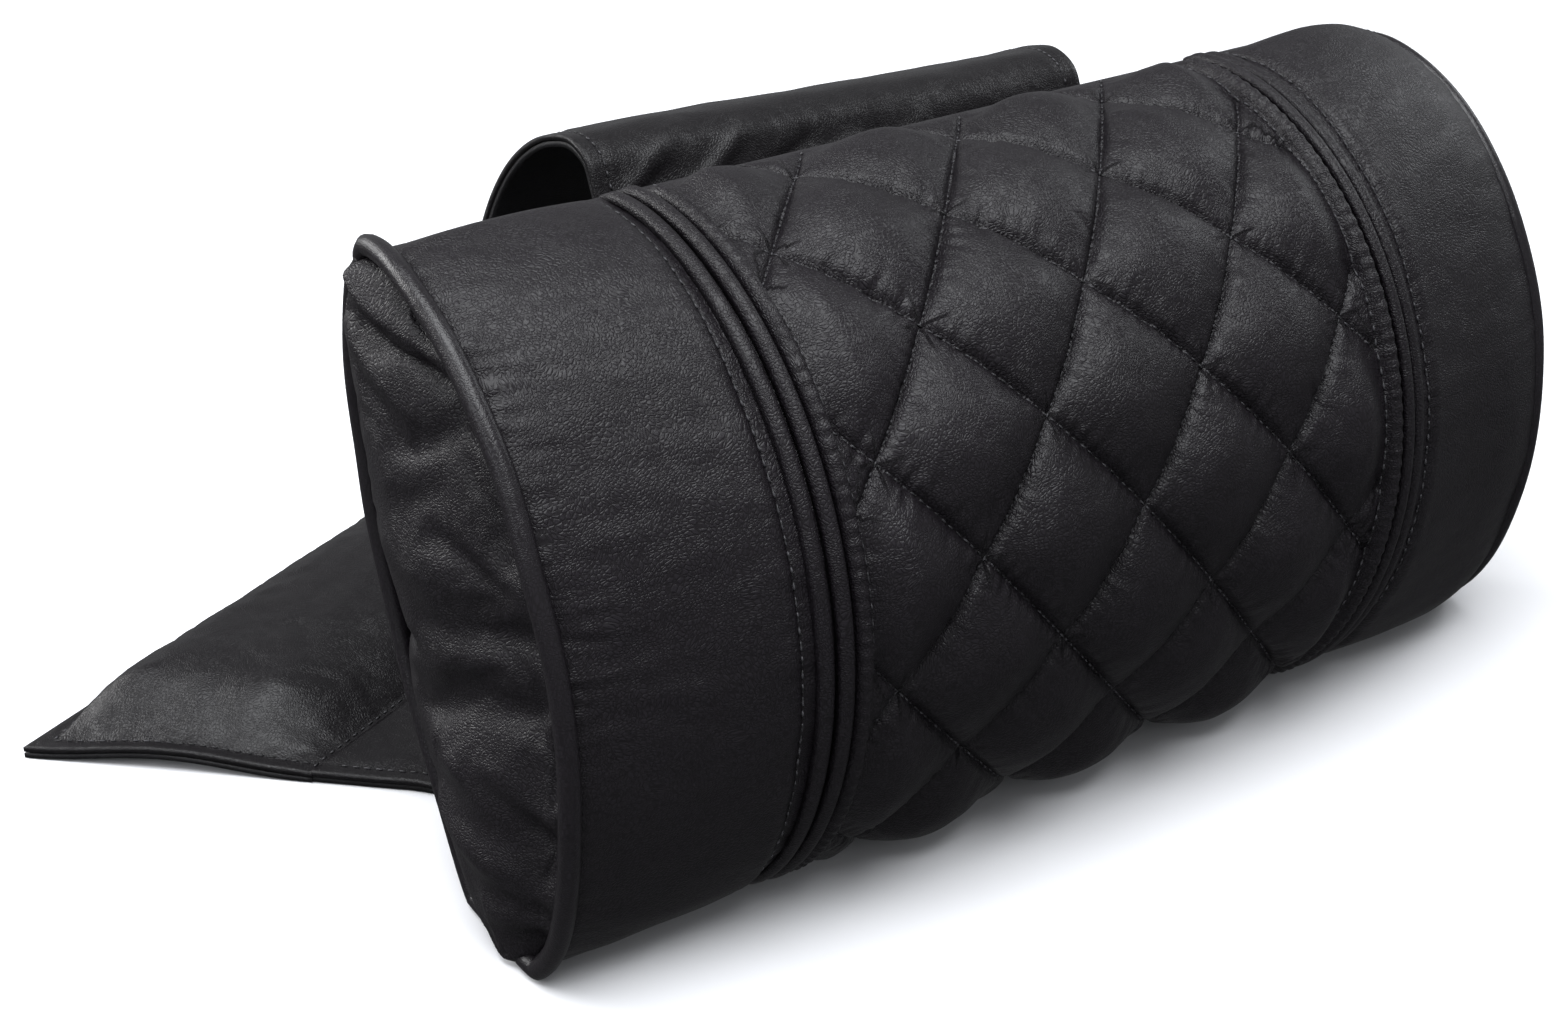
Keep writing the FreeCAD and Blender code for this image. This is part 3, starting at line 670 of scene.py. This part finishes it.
def capPiece(side, word):
    bm = bmesh.new()
    bmesh.ops.create_grid(bm, x_segments=80, y_segments=140, size=1.0)
    x = side * (roll["cap"] - 1.0 * mm)
    fy, fz, _, _, fs = frontSection(x)
    by, bz, bny, bnz, bs = backSection(x)
    clear = np.maximum(0.0, bs[-1] * roll["backShare"] - bs)
    stand = underPiping(side) * smoothStep(0.0, 12.0 * mm, np.minimum(bs, clear))
    by, bz, bs = (by + stand * bny)[::-1], (bz + stand * bnz)[::-1], (bs[-1] - bs)[::-1]
    held = []
    for vertex in bm.verts:
        across, up = (vertex.co.x + 1.0) / 2.0, (vertex.co.y + 1.0) / 2.0
        front = Vector((x, np.interp(up * fs[-1], fs, fy), np.interp(up * fs[-1], fs, fz)))
        back = Vector((x, np.interp(up * bs[-1], bs, by), np.interp(up * bs[-1], bs, bz)))
        middle = (front + back) / 2
        drawIn = 1.0 + min(0.0, piping["frontProud"][word]) / (roll["bowEnd"] + roll["backBow"]) * 1.6
        front, back = middle + (front - middle) * drawIn, middle + (back - middle) * drawIn
        spot = front.lerp(back, across)
        rim = min(across, 1.0 - across) * (front - back).length
        tip = min(up, 1.0 - up) * roll["chord"]
        inside = ease(0.0, 14.0 * mm, min(rim, tip))
        rise = capForm["bulge"] * math.sin(math.pi * min(1.0, across ** 1.25)) * inside
        rise -= capForm["hollow"] * bell(across - 0.2, 0.16) * inside
        rise += foldHeight(capForm["folds"], across, up, 0.5) * inside
        rise += 0.5 * mm * wave(across * 30 * mm, up * roll["chord"], 0.0, 8.0 * mm, 12.0 + side) * inside
        vertex.co = spot + Vector((side * (rise - 3.0 * mm), 0.0, 0.0))
        vertex.co.z = max(vertex.co.z, floorGap)
        if rim < 0.5 * mm or tip < 3.0 * mm:
            held.append(tuple(vertex.co))
    bmesh.ops.remove_doubles(bm, verts=bm.verts, dist=0.00005)
    bmesh.ops.recalc_face_normals(bm, faces=bm.faces)
    cap = objectFrom(bm, "endCap" + word)
    faceOutward(cap, Vector((0, 0.03, 0.1)))
    fixed = {tuple(round(c, 6) for c in place) for place in held}
    inflate(cap, [v.index for v in cap.data.vertices if tuple(round(c, 6) for c in v.co) in fixed],
            3.0, 0.035, 5.0 * mm)
    dress(cap, "bolster", hide, ["end_cap_" + word.lower()], thick=coverWall)


def tubeAlong(name, points, radius):
    data = bpy.data.curves.new(name, "CURVE")
    data.dimensions = "3D"
    data.bevel_depth = radius
    data.bevel_resolution = 6
    data.use_fill_caps = True
    line = data.splines.new("POLY")
    line.points.add(len(points) - 1)
    for spot, point in zip(line.points, points):
        spot.co = (*point, 1.0)
    holder = placed(name + "Line", data)
    bpy.context.view_layer.update()
    mesh = bpy.data.meshes.new_from_object(holder.evaluated_get(bpy.context.evaluated_depsgraph_get()))
    mesh.name = name
    bpy.data.objects.remove(holder)
    return placed(name, mesh)


def pipingLine(section, x, side, radius, trim0, trim1, proud, seed, tuck=0.0):
    line = section(x)
    length = line[4][-1]
    points = []
    for at in np.linspace(trim0, length - trim1, 150):
        py, pz, qy, qz = sectionAt(line, at)
        sway = piping["wobble"] * wave(at, side, seed, 38.0 * mm, 14.0)
        ends = ease(0.0, tuck, min(at - trim0, length - at)) if tuck else 1.0
        spot = Vector((x, py, pz)) + Vector((0.0, qy, qz)) * proud * ends + Vector((side * sway, 0.0, 0.0))
        spot.z = max(spot.z, radius + floorGap)
        points.append(spot)
    return points


for side, word in bothEnds:
    capPiece(side, word)
    radius = piping["radius"][word]
    x = side * (roll["end"] - radius - 0.6 * mm)
    line = pipingLine(frontSection, x, side, radius, 0.0, 0.0, piping["frontProud"][word], 1.0)
    # its top end turns over the corner and tucks in beside the back piping
    corner = backSection(x)
    for at in np.linspace(1.5 * mm, piping["tail"], 8):
        sunk = piping["frontProud"][word] - radius * 1.6 * ease(0.3, 1.0, at / piping["tail"])
        py, pz, qy, qz = sectionAt(corner, at)
        line.append(Vector((line[-1].x, py + qy * sunk, pz + qz * sunk)))
    front = tubeAlong("endPipingFront" + word, line, radius)
    dress(front, "bolster", stretchedHide, ["end_piping_front_" + word.lower()])
    line = pipingLine(backSection, x, side, radius, 3.0 * mm, 0.5 * mm, piping["backProud"][word], 2.0,
                      piping["tuck"])
    back = tubeAlong("endPipingBack" + word, line, radius * 0.92)
    standsFor = ["end_piping_back_" + word.lower()] + (["piping_cords"] if side < 0 else [])
    dress(back, "bolster", stretchedHide, standsFor)
print("ends made")


# the inner cushion: the CAD filling, remeshed, swelled by cloth pressure and smoothed
def innerCushion():
    bm = bmesh.new()
    bm.from_mesh(frame["nodes"]["inner_cushion"].data)
    bmesh.ops.remove_doubles(bm, verts=bm.verts, dist=0.00001)
    centre = sum((v.co for v in bm.verts), Vector()) / len(bm.verts)
    for vertex in bm.verts:
        vertex.co = centre + (vertex.co - centre) * 0.955
    cushion = objectFrom(bm, "innerCushion")
    remesh = cushion.modifiers.new("remesh", "REMESH")
    remesh.mode = "VOXEL"
    remesh.voxel_size = 6.0 * mm
    mesh = bpy.data.meshes.new_from_object(cushion.evaluated_get(bpy.context.evaluated_depsgraph_get()))
    cushion.modifiers.remove(remesh)
    cushion.data = mesh
    inflate(cushion, [v.index for v in mesh.vertices if v.co.z < 8.0 * mm], 4.0, 0.0, 2.5 * mm)
    dress(cushion, "bolster", finishes["filling"], ["inner_cushion"])
    smoother = cushion.modifiers.new("smoother", "SUBSURF")
    smoother.levels = smoother.render_levels = 1


innerCushion()
print("inner cushion made")


# the flap
flap = {"width": 200.0 * mm, "thick": 4.0 * mm, "turn": math.radians(25.6), "run": math.radians(138.2),
        "corner": Vector((-212.0 * mm, 124.0 * mm, 0.0)), "pocket": 100.0 * mm, "margin": 6.0 * mm}
crown = Vector((0.0, 126.0 * mm, 204.5 * mm))
acrossFloor = Vector((math.cos(flap["turn"]), math.sin(flap["turn"]), 0.0))
runFloor = Vector((math.cos(flap["run"]), math.sin(flap["run"]), 0.0))
stitchMiddle = flap["corner"] + acrossFloor * flap["width"] / 2
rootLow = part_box("loop_outer_leather")[0]


def flapStations():
    # middle of the sheet, and its turn as a share of the whole turn, from the root to the stitched fold
    half = flap["thick"] / 2
    lift = half + 0.5 * mm
    loop = [(rootLow.y + half, rootLow.z), (rootLow.y + half + 1.5 * mm, rootLow.z + 16 * mm),
            (crown.y - 24.8 * mm, crown.z - 36.0 * mm), (crown.y - 13.2 * mm, crown.z - 14.2 * mm),
            (crown.y - 8.0 * mm, crown.z - 5.0 * mm)]
    spots = [(Vector((0.0, y, z)), 0.0) for y, z in loop]
    for x, dy, dz, turn in (
            (0.0, 0.0, 2.0, 0.0), (0.0, 14.0, 4.5, 0.0), (-1.0, 36.0, 16.5, 0.02),
            (-4.0, 54.0, 36.5, 0.08), (-12.0, 62.0, 64.5, 0.2), (-24.0, 58.0, 99.5, 0.4),
            (-38.0, 42.0, 134.5, 0.62), (-52.0, 20.0, 166.5, 0.82), (-60.0, 5.0, 184.5, 0.92),
            (-66.0, -1.5, 195.0, 0.97)):
        spots.append((Vector((x * mm, crown.y + dy * mm, crown.z - dz * mm)), turn))
    for back, extra in ((62.0, 1.5), (34.0, 0.0), (1.0, 0.0)):
        spot = stitchMiddle - runFloor * back * mm
        spots.append((Vector((spot.x, spot.y, lift + extra * mm)), 1.0))
    return spots


stations = flapStations()
stationGaps = [(b[0] - a[0]).length for a, b in zip(stations, stations[1:])]
stationAt = np.concatenate([[0.0], np.cumsum(stationGaps)])
fineAt = np.linspace(0.0, stationAt[-1], 420)
finePath = np.stack([smoothLine(stationAt, np.array([p[0][i] for p in stations]), fineAt)
                     for i in range(3)], 1)
fineTurn = smoothLine(stationAt, np.array([p[1] for p in stations]), fineAt)
crownShare = stationAt[5] / stationAt[-1]
flapLength = float(np.linalg.norm(np.diff(finePath, axis=0), axis=1).sum())
print("flap length", round(flapLength, 4))


def flapPoint(share, across, depth):
    # a place on the flap: share of its length, across from -1 to 1, depth below its outer face
    last = len(finePath) - 1
    k = np.clip(share * last, 0, last - 0.001)
    i, part = int(k), k - int(k)
    spot = Vector(finePath[i] * (1 - part) + finePath[i + 1] * part)
    heading = Vector(finePath[min(i + 2, last)] - finePath[max(i - 1, 0)]).normalized()
    angle = flap["turn"] * float(fineTurn[i] * (1 - part) + fineTurn[i + 1] * part)
    side = Vector((math.cos(angle), math.sin(angle), 0.0))
    out = side.cross(heading).normalized()
    return spot + side * (across * flap["width"] / 2) + out * (flap["thick"] / 2 - depth), out, side


# creases on the loop: (across, below the crown) in mm, both ends, half width, height
loopForm = {
    "sag": 6.0 * mm,
    "creases": (
        ((-92, 24), (-62, 2), 3.0, 1.2 * mm), ((-80, 36), (-40, 8), 2.6, 1.5 * mm),
        ((-62, 38), (-18, 16), 3.2, -1.4 * mm), ((-50, 36), (2, 18), 2.4, 1.4 * mm),
        ((-20, 36), (30, 16), 3.2, 1.2 * mm), ((4, 34), (52, 24), 2.4, -1.2 * mm),
        ((36, 34), (80, 20), 2.8, 1.3 * mm), ((62, 30), (92, 22), 2.2, -1.1 * mm),
        ((-96, 40), (-70, 30), 2.4, 1.2 * mm),
    ),
}


def flapSheet(name, depth, margin, facing):
    bm = bmesh.new()
    bmesh.ops.create_grid(bm, x_segments=110, y_segments=250, size=1.0)
    for vertex in bm.verts:
        across, share = vertex.co.x, (vertex.co.y + 1.0) / 2.0
        spot, out, _ = flapPoint(share, across * (1.0 - margin), depth)
        edge = (1.0 - abs(across)) * flap["width"] / 2
        up = 1.0 * mm * wave(across * 0.1, share * flapLength, 0.0, 42.0 * mm, 20.0)
        up *= ease(0, 0.02, edge)
        below = (crownShare - share) * flapLength
        if facing > 0:
            up -= 0.55 * mm * bell(edge - flap["margin"], 1.3 * mm)
            away = ease(0.0, 10.0 * mm, edge)
            if below > -10.0 * mm:
                up += foldHeight(loopForm["creases"], across * 100.0, below * 1000.0) * away
            up += 0.3 * mm * wave(across * 40 * mm, share * flapLength, 0.0, 6.0 * mm, 21.0) * away
            beside = bell(edge - 8 * mm, 4 * mm)
            up += 0.25 * mm * beside * wave(0.0, share * flapLength, 0, 3.5 * mm, 22)
        # the loop hangs lower towards the right
        window = ease(0.06, crownShare * 0.8, share)
        window *= ease(0.55, crownShare * 1.3, share)
        vertex.co = spot + out * up
        vertex.co.z -= loopForm["sag"] * window * ease(-0.9, 0.9, across)
    bmesh.ops.recalc_face_normals(bm, faces=bm.faces)
    sheet = objectFrom(bm, name)
    middle = sheet.data.polygons[len(sheet.data.polygons) // 2]
    _, out, _ = flapPoint(0.5, 0.0, 0.0)
    if middle.normal.dot(out) * facing < 0:
        sheet.data.flip_normals()
    return sheet


def stripHeight(x, s, length):
    return 1.7 * mm + 0.2 * mm * wave(x, s, 0.0, 9.0 * mm, 24.0)


stripLow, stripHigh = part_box("flap_seam_strip")
topShare = backS[np.abs(backZ[:150] - stripHigh.z).argmin()] / backS[-1]
lowShare = backS[np.abs(backZ[:150] - stripLow.z).argmin()] / backS[-1]
strip = wrapSheet("seamStrip", backSection, stripLow.x, stripHigh.x, topShare, lowShare, 80, 12,
                  stripHeight)
faceOutward(strip, rollCentre)
dress(strip, "bolster", hide, ["flap_seam_strip"], thick=1.5 * mm)

foldWay = Vector((-math.sin(flap["turn"]), math.cos(flap["turn"]), 0.0))


def foldBlend(piece):
    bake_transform(piece)


def rootBlend(piece):
    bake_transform(piece)


flapPieces = []
for name, nodes, depth, facing, material, slotName in (
        ("flapOuter", ["loop_outer_leather", "flap_outer_leather"], 0.0, 1, flapHide, "leather"),
        ("flapLining", ["loop_lining", "flap_lining"], flap["thick"], -1, liningHide, "lining")):
    sheet = flapSheet(name, depth, 0.0 if facing > 0 else 0.004, facing)
    dress(sheet, None, material, nodes, thick=1.8 * mm)
    rootBlend(sheet)
    flapPieces.append(sheet)
print("flap made")


# the weight pocket
pocket = {"shoulders": (31.0 * mm, 31.0 * mm, 35.0 * mm, 17.0 * mm), "crown": 15.5 * mm,
          "seat": 4.6 * mm, "lift": 4.0 * mm, "liftWide": 13.0 * mm, "edgeFlat": 5.0 * mm,
          "columns": 120, "rows": 62}


def pocketLift(a, b):
    # the free edge stands a little off the floor between its corners
    t = min(1.0, max(0.0, b / flap["pocket"]))
    return pocket["lift"] * bell(a, pocket["liftWide"]) * math.sin(math.pi * t) ** 2


def pocketSheet(name, top):
    bm = bmesh.new()
    bmesh.ops.create_grid(bm, x_segments=pocket["columns"], y_segments=pocket["rows"], size=1.0)
    for vertex in bm.verts:
        a = (vertex.co.x + 1.0) / 2.0 * flap["width"]
        b = (vertex.co.y + 1.0) / 2.0 * (flap["pocket"] + 1.5 * mm) - 1.5 * mm
        spot = flap["corner"] + acrossFloor * a + runFloor * b
        edge = min(a, flap["width"] - a, flap["pocket"] - b)
        nearest = min(edge, max(0.0, b) * 1.1)
        height = 0.4 * mm + pocketLift(a, b)
        if top:
            inner = pocket["edgeFlat"]
            sides = (a - inner, flap["width"] - a - inner, b, flap["pocket"] - b - inner)
            full = 1.0
            for distance, shoulder in zip(sides, pocket["shoulders"]):
                t = min(1.0, max(0.0, distance / shoulder))
                if shoulder < 20 * mm:
                    full *= math.sqrt(1.0 - (1.0 - t) ** 2)
                else:
                    full *= ease(0.0, 1.0, t) ** 0.7
            height = pocket["seat"] + pocketLift(a, b) + pocket["crown"] * full
            height += 0.8 * mm * full * wave(a, b, 0.0, 34.0 * mm, 30.0)
            height += 0.25 * mm * wave(a, b, 0.0, 9.0 * mm, 31.0) * min(1.0, nearest / (9.0 * mm))
            beside = bell(nearest - 9.0 * mm, 4.0 * mm)
            height += 0.4 * mm * beside * wave(a, b, 0.0, 4.0 * mm, 32.0)
            height -= 0.6 * mm * bell(edge - flap["margin"], 1.2 * mm)
            height -= 0.8 * mm * bell(b - 0.5 * mm, 1.3 * mm)
        vertex.co = spot + Vector((0.0, 0.0, height))
    bmesh.ops.recalc_face_normals(bm, faces=bm.faces)
    sheet = objectFrom(bm, name)
    if sheet.data.polygons[0].normal.z * (1 if top else -1) < 0:
        sheet.data.flip_normals()
    return sheet


pocketPieces = []
for name, top, nodes, material, slotName in (
        ("pocketTop", True, ["pocket_top_leather"], flapHide, "leather"),
        ("pocketBase", False, ["pocket_base_leather"], liningHide, "lining")):
    sheet = pocketSheet(name, top)
    if top:
        held = []
        for vertex in sheet.data.vertices:
            local = vertex.co - flap["corner"]
            b = local.dot(foldWay) / runFloor.dot(foldWay)
            a = (local - runFloor * b).dot(acrossFloor)
            if min(a, flap["width"] - a, flap["pocket"] - b) < flap["margin"] + 0.6 * mm or b < 1.0 * mm:
                held.append(vertex.index)
        inflate(sheet, held, 1.2, 0.002, 1.5 * mm)
    dress(sheet, None, material, nodes, thick=1.8 * mm)
    foldBlend(sheet)
    pocketPieces.append(sheet)
print("pocket made")


# stitching
threadForm = {"radius": 0.40 * mm, "share": 0.66, "sink": 0.1 * mm}


def surfaceOf(*pieces):
    bpy.context.view_layer.update()
    graph = bpy.context.evaluated_depsgraph_get()
    return [BVHTree.FromObject(piece, graph) for piece in pieces]


def dropOn(trees, spot, out, reach=9.0 * mm):
    # the place on the finished surface that lies under spot
    best = None
    for tree in trees:
        place, _, _, distance = tree.ray_cast(spot + out * reach, -out, 2.5 * reach)
        if place is not None and (best is None or distance < best[1]):
            best = (place, distance)
    return best[0] if best else spot


def stitchRow(name, spots, trees, stitch, ride, share=threadForm["share"], radius=threadForm["radius"]):
    # spots are (point, normal) pairs close together along the seam
    line = [Vector(p) for p, _ in spots]
    at = [0.0]
    for a, b in zip(line, line[1:]):
        at.append(at[-1] + (b - a).length)
    count = max(1, int(at[-1] / stitch))
    xs = [np.array([p[i] for p in line]) for i in range(3)]
    ns = [np.array([n[i] for _, n in spots]) for i in range(3)]
    bm = bmesh.new()
    for k in range(count):
        middle = (k + 0.5) * at[-1] / count
        half = stitch * share / 2
        out = Vector([float(np.interp(middle, at, c)) for c in ns]).normalized()
        ends = []
        for spot in (middle - half, middle + half):
            ends.append(dropOn(trees, Vector([float(np.interp(spot, at, c)) for c in xs]), out))
        a, b = ends
        along = (b - a).normalized()
        side = out.cross(along).normalized()
        turn = Matrix((along, side, along.cross(side))).transposed().to_4x4()
        place = Matrix.Translation((a + b) / 2 + out * (radius * 0.45 - threadForm["sink"])) @ turn
        place = place @ Matrix.Diagonal(((b - a).length * 0.53, radius, radius, 1.0))
        bmesh.ops.create_icosphere(bm, subdivisions=1, radius=1.0, matrix=place)
    made = objectFrom(bm, name)
    dress(made, "bolster" if ride == "bolster" else None, thread)
    if ride != "bolster":
        ride(made)


def onFront(x, s):
    py, pz, qy, qz = sectionAt(frontSection(x), s)
    return Vector((x, py, pz)), Vector((0.0, qy, qz))


frontLength = frontSection(0.0)[4][-1]
limit = roll["seam"] - quilt["edgeRoll"] - 1.0 * mm
quiltTree = surfaceOf(quiltPanel)
for family in (1, -1):
    for k in range(-4, 14, 2):
        run = []
        for s in np.arange(2 * mm, frontLength - 2 * mm, 1.2 * mm):
            x = family * (k - ((s - quilt["rowStart"]) / quilt["halfHigh"] + 1.0)) * quilt["halfWide"]
            if abs(x) < limit:
                run.append(onFront(x, s))
        if len(run) > 8:
            stitchRow("quiltStitch" + ("A" if family > 0 else "B") + str(k + 4), run, quiltTree,
                      quilt["stitch"], "bolster")
for side, word in bothEnds:
    x = side * (roll["seam"] - quilt["edgeRoll"] - 0.5 * mm)
    run = [onFront(x, s) for s in np.arange(2 * mm, frontLength - 3 * mm, 2 * mm)]
    stitchRow("quiltEdgeStitch" + word, run, quiltTree, ridges["stitch"] * 0.8, "bolster", 0.75, 0.42 * mm)
    x = side * (bandStart + 4.0 * mm)
    run = [onFront(x, s) for s in np.arange(2 * mm, frontSection(x)[4][-1] - 2 * mm, 2 * mm)]
    stitchRow("bandEdgeStitch" + word, run, surfaceOf(bandPieces[word]), ridges["stitch"] * 0.75,
              "bolster", 0.75, 0.44 * mm)

# topstitch along both edges of the flap, across its root, round the pocket and along the pocket's fold
flapTree = surfaceOf(flapPieces[0])
for sign, word in bothEnds:
    run = []
    for share in np.linspace(0.03, 0.985, 260):
        spot, out, _ = flapPoint(share, sign * (1.0 - flap["margin"] / (flap["width"] / 2)), 0.0)
        run.append((spot, out))
    stitchRow("flapEdgeStitch" + word, run, flapTree, 4.0 * mm, rootBlend)
for share, word in ((0.035, "Low"), (0.085, "High")):
    run = [flapPoint(share, across, 0.0)[:2] for across in np.linspace(-0.93, 0.93, 90)]
    stitchRow("flapRootStitch" + word, run, flapTree, 4.0 * mm, rootBlend)
pocketTree = surfaceOf(pocketPieces[0])
up = Vector((0.0, 0.0, 1.0))
inset, wide, deep = flap["margin"], flap["width"], flap["pocket"]
for label, (a0, b0), (a1, b1) in (("Front", (inset, 2 * mm), (inset, deep - inset)),
                                  ("Far", (inset, deep - inset), (wide - inset, deep - inset)),
                                  ("Back", (wide - inset, deep - inset), (wide - inset, 2 * mm)),
                                  ("Fold", (4 * mm, 0.6 * mm), (wide - 4 * mm, 0.6 * mm))):
    run = []
    for t in np.linspace(0.0, 1.0, 120):
        spot = flap["corner"] + acrossFloor * (a0 + (a1 - a0) * t) + runFloor * (b0 + (b1 - b0) * t)
        run.append((spot + up * pocket["seat"], up))
    stitchRow("pocketStitch" + label, run, pocketTree, 4.0 * mm, foldBlend)
print("stitches made")

# the CAD nodes that stay get their finish by slot
slotOf = {entry["node"]: entry["material_slot"] for entry in frame["record"]["subparts"]}
for name, nodeObject in frame["nodes"].items():
    nodeObject.data.materials.clear()
    nodeObject.data.materials.append(finishes[slotOf[name]])

# floor, light and camera
bm = bmesh.new()
bmesh.ops.create_grid(bm, x_segments=1, y_segments=1, size=30.0)
floor = objectFrom(bm, "floor")
floor.data.materials.append(plainMaterial("mattePaperSweep", "#e2e2e4", 0.9, 0.0, 20.0, 0.0, 0.01))
floor.visible_glossy = False  # the pale sweep would wash the black leather out from below


def areaLight(name, place, target, size, power, colour=(1.0, 1.0, 1.0)):
    data = bpy.data.lights.new(name, "AREA")
    data.shape = "RECTANGLE"
    data.size, data.size_y = size
    data.energy = power
    data.color = colour
    lamp = placed(name, data)
    lamp.location = place
    lamp.rotation_euler = (Vector(target) - Vector(place)).to_track_quat("-Z", "Y").to_euler()


areaLight("topPanel", (-0.35, -0.28, 2.05), (0.0, 0.0, 0.1), (1.9, 1.4), 76.0, (0.955, 0.975, 1.0))
areaLight("backPanel", (-1.2, 1.6, 0.9), (0.0, 0.1, 0.1), (1.2, 0.9), 32.0)
areaLight("leftPanel", (-1.5, -0.1, 1.0), (-0.15, 0.0, 0.1), (0.5, 0.9), 6.0, (0.94, 0.97, 1.0))
areaLight("rightPanel", (1.6, 0.2, 0.9), (0.15, 0.0, 0.1), (0.6, 0.9), 6.0, (0.94, 0.97, 1.0))
world = bpy.data.worlds.new("studio")
bpy.context.scene.world = world
world.use_nodes = True
backdrop = world.node_tree.nodes["Background"]
backdrop.inputs["Color"].default_value = (0.95, 0.97, 1.0, 1.0)
# even all round and overhead, and dim below the floor's level
way = addNode(world.node_tree, "ShaderNodeTexCoord").outputs["Generated"]
level = addNode(world.node_tree, "ShaderNodeSeparateXYZ", {"Vector": way}).outputs["Z"]
strength = ramp(world.node_tree, level, -0.25, -0.03, 0.12, 0.4)
world.node_tree.links.new(strength, backdrop.inputs["Strength"])
bpy.context.scene.view_settings.view_transform = "Standard"

cameraData = bpy.data.cameras.new("camera")
cameraData.lens = 56.46
cameraData.sensor_width = 36.0
camera = placed("camera", cameraData)
camera.location = (-453.5 * mm, -528.9 * mm, 477.5 * mm)
camera.rotation_euler = (math.pi / 2 - 0.504, 0.0, -0.585)
bpy.context.scene.camera = camera
print("camera and light made")

bpy.context.view_layer.update()
